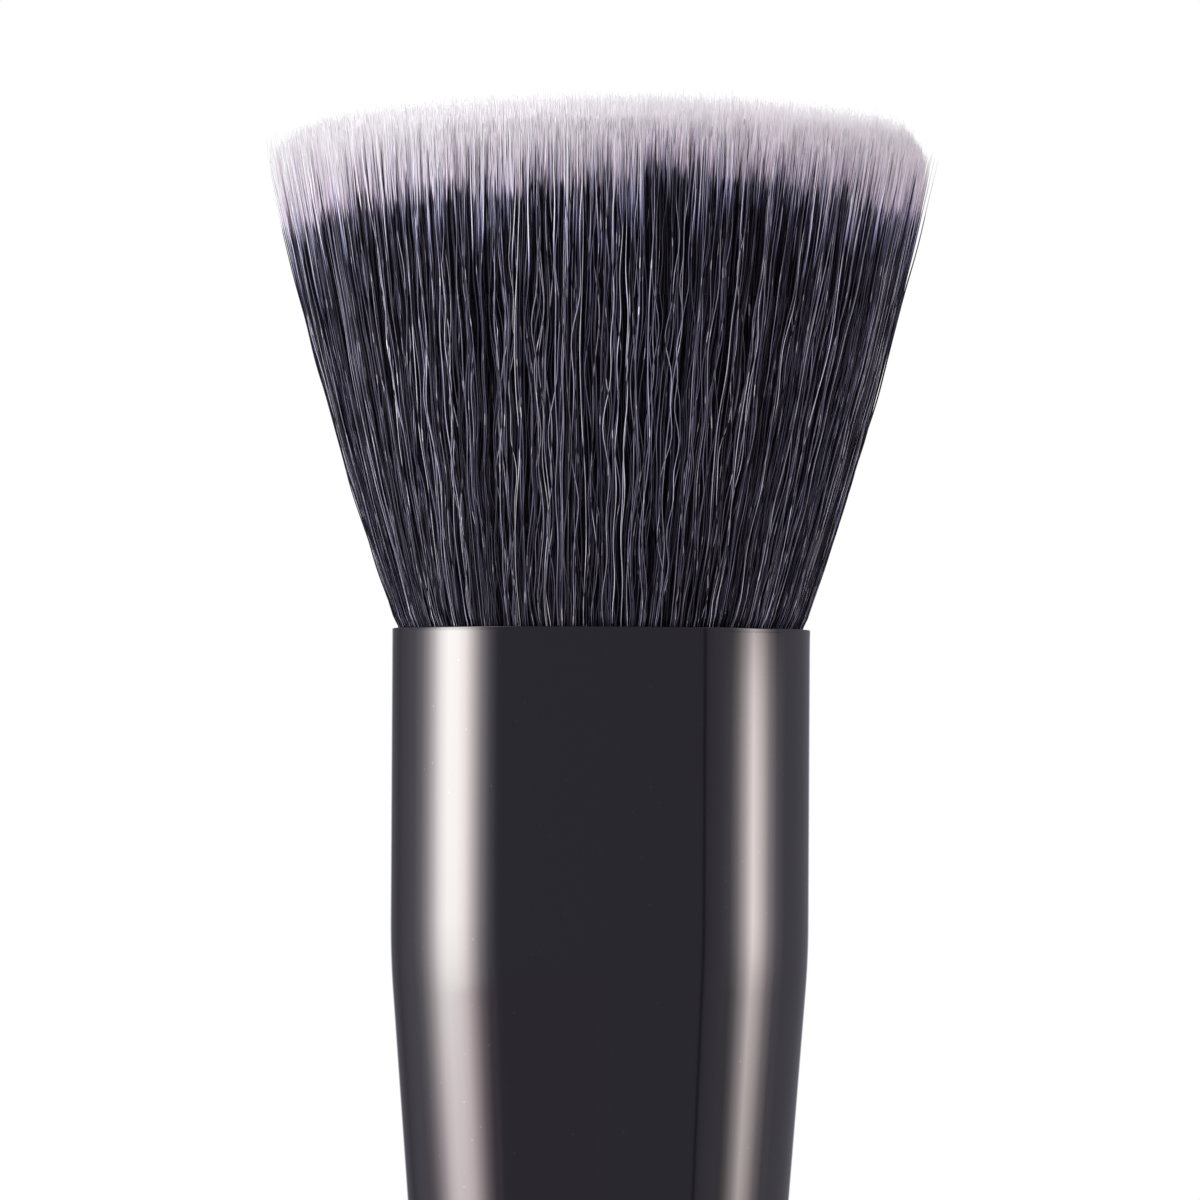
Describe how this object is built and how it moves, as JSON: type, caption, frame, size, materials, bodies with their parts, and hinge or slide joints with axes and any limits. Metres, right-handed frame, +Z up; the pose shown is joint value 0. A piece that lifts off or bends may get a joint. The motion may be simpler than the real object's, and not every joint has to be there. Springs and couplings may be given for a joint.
{
  "type": "foundation brush",
  "caption": "Round flat-topped makeup brush with dense two-tone bristles, a tapered glossy black ferrule and a slim black handle.",
  "frame": {"origin": "centre of the flat foot of the handle", "axes": "+Z runs up the brush from the foot of the handle to the bristle tips; +X and +Y are equal, as the brush is round"},
  "size_m": [0.0346, 0.0344, 0.1601],
  "materials": {
    "handle_lacquer": "gloss",
    "ferrule_metal": "gloss",
    "wood_glue": "satin",
    "epoxy": "satin",
    "thread": "matte",
    "bristle_fibre": "satin"
  },
  "bodies": {
    "root": {"handle": "handle_lacquer", "ferrule": "ferrule_metal", "tenon_glue": "wood_glue", "root_plug": "epoxy", "binding_thread": "thread", "bristles": "bristle_fibre"}
  },
  "joints": []
}
